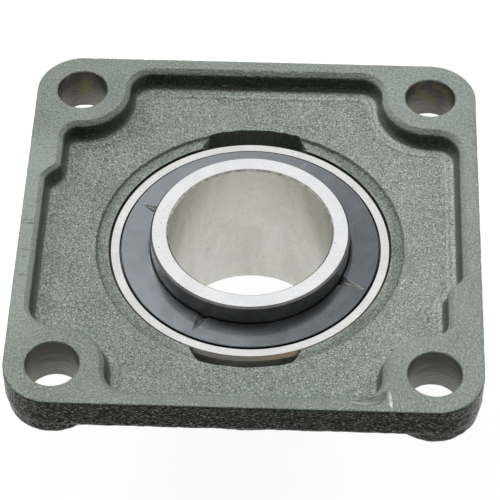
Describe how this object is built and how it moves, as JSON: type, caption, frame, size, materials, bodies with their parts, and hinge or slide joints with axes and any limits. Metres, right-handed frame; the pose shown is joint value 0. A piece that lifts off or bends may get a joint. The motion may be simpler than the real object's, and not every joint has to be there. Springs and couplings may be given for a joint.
{
  "type": "square flange bearing",
  "caption": "Cast square flange housing with corner bolt holes and a recessed back, holding a self-aligning ball bearing insert with a wide inner ring, seals and set screws.",
  "frame": {"origin": "centre of the mounting face, on the shaft axis", "axes": "+Z out of the mounting face along the shaft axis; +X and +Y along the sides of the square flange"},
  "size_m": [0.14, 0.14, 0.0546],
  "materials": {
    "housing_paint": "grey-green glossy paint on cast iron",
    "bearing_steel": "ground bearing steel",
    "ball_steel": "polished steel",
    "cage_steel": "pressed sheet steel",
    "flinger_steel": "blue-grey coated sheet steel",
    "seal_rubber": "black nitrile rubber",
    "screw_steel": "black oxide steel",
    "nipple_plate": "yellow zinc plate",
    "spring_steel": "drawn spring wire"
  },
  "bodies": {
    "housing": {"housing": "housing_paint", "grease_nipple": "nipple_plate", "nipple_spring": "spring_steel"},
    "insert_outer": {"outer_ring": "bearing_steel", "seal_plate_back": "cage_steel", "seal_plate_front": "cage_steel", "seal_lip_back": "seal_rubber", "seal_lip_front": "seal_rubber"},
    "insert_inner": {"inner_ring": "bearing_steel", "flinger_back": "flinger_steel", "flinger_front": "flinger_steel"},
    "cage": {"cage_back": "cage_steel", "cage_front": "cage_steel", "cage_rivets": "cage_steel"},
    "set_screw_1": {"set_screw_1": "screw_steel"},
    "set_screw_2": {"set_screw_2": "screw_steel"},
    "nipple_ball": {"nipple_ball": "ball_steel"},
    "ball_1": {"ball_1": "ball_steel"},
    "ball_2": {"ball_2": "ball_steel"},
    "ball_3": {"ball_3": "ball_steel"},
    "ball_4": {"ball_4": "ball_steel"},
    "ball_5": {"ball_5": "ball_steel"},
    "ball_6": {"ball_6": "ball_steel"},
    "ball_7": {"ball_7": "ball_steel"},
    "ball_8": {"ball_8": "ball_steel"},
    "ball_9": {"ball_9": "ball_steel"},
    "ball_10": {"ball_10": "ball_steel"}
  },
  "joints": [
    {"name": "insert_align", "type": "hinge", "parent": "housing", "child": "insert_outer", "pos_m": [0, 0, -0.022], "axis": [1, 0, 0], "range_deg": [-2, 2]},
    {"name": "shaft_spin", "type": "hinge", "parent": "insert_outer", "child": "insert_inner", "pos_m": [0, 0, -0.022], "axis": [0, 0, 1], "continuous": true},
    {"name": "cage_spin", "type": "hinge", "parent": "insert_outer", "child": "cage", "pos_m": [0, 0, -0.022], "axis": [0, 0, 1], "continuous": true},
    {"name": "ball_1_spin", "type": "hinge", "parent": "cage", "child": "ball_1", "pos_m": [0.03329, 0.01082, -0.022], "axis": [0, 0, 1], "continuous": true},
    {"name": "ball_2_spin", "type": "hinge", "parent": "cage", "child": "ball_2", "pos_m": [0.02057, 0.02832, -0.022], "axis": [0, 0, 1], "continuous": true},
    {"name": "ball_3_spin", "type": "hinge", "parent": "cage", "child": "ball_3", "pos_m": [0, 0.035, -0.022], "axis": [0, 0, 1], "continuous": true},
    {"name": "ball_4_spin", "type": "hinge", "parent": "cage", "child": "ball_4", "pos_m": [-0.02057, 0.02832, -0.022], "axis": [0, 0, 1], "continuous": true},
    {"name": "ball_5_spin", "type": "hinge", "parent": "cage", "child": "ball_5", "pos_m": [-0.03329, 0.01082, -0.022], "axis": [0, 0, 1], "continuous": true},
    {"name": "ball_6_spin", "type": "hinge", "parent": "cage", "child": "ball_6", "pos_m": [-0.03329, -0.01082, -0.022], "axis": [0, 0, 1], "continuous": true},
    {"name": "ball_7_spin", "type": "hinge", "parent": "cage", "child": "ball_7", "pos_m": [-0.02057, -0.02832, -0.022], "axis": [0, 0, 1], "continuous": true},
    {"name": "ball_8_spin", "type": "hinge", "parent": "cage", "child": "ball_8", "pos_m": [0, -0.035, -0.022], "axis": [0, 0, 1], "continuous": true},
    {"name": "ball_9_spin", "type": "hinge", "parent": "cage", "child": "ball_9", "pos_m": [0.02057, -0.02832, -0.022], "axis": [0, 0, 1], "continuous": true},
    {"name": "ball_10_spin", "type": "hinge", "parent": "cage", "child": "ball_10", "pos_m": [0.03329, -0.01082, -0.022], "axis": [0, 0, 1], "continuous": true},
    {"name": "set_screw_1_travel", "type": "slide", "parent": "insert_inner", "child": "set_screw_1", "axis": [0.866, 0.5, 0], "range_m": [-0.004, 0.0003]},
    {"name": "set_screw_2_travel", "type": "slide", "parent": "insert_inner", "child": "set_screw_2", "axis": [-0.866, 0.5, 0], "range_m": [-0.004, 0.0003]},
    {"name": "nipple_check", "type": "slide", "parent": "housing", "child": "nipple_ball", "axis": [0, -0.9889, 0.1486], "range_m": [0, 0.001], "stiffness_N_per_m": 400, "springref_m": -0.001, "deforming": ["nipple_spring"]}
  ],
  "couplings": [
    {"joint": "cage_spin", "follows": "shaft_spin", "ratio": 0.40929},
    {"joint": "ball_1_spin", "follows": "shaft_spin", "ratio": -2.6652},
    {"joint": "ball_2_spin", "follows": "shaft_spin", "ratio": -2.6652},
    {"joint": "ball_3_spin", "follows": "shaft_spin", "ratio": -2.6652},
    {"joint": "ball_4_spin", "follows": "shaft_spin", "ratio": -2.6652},
    {"joint": "ball_5_spin", "follows": "shaft_spin", "ratio": -2.6652},
    {"joint": "ball_6_spin", "follows": "shaft_spin", "ratio": -2.6652},
    {"joint": "ball_7_spin", "follows": "shaft_spin", "ratio": -2.6652},
    {"joint": "ball_8_spin", "follows": "shaft_spin", "ratio": -2.6652},
    {"joint": "ball_9_spin", "follows": "shaft_spin", "ratio": -2.6652},
    {"joint": "ball_10_spin", "follows": "shaft_spin", "ratio": -2.6652}
  ]
}
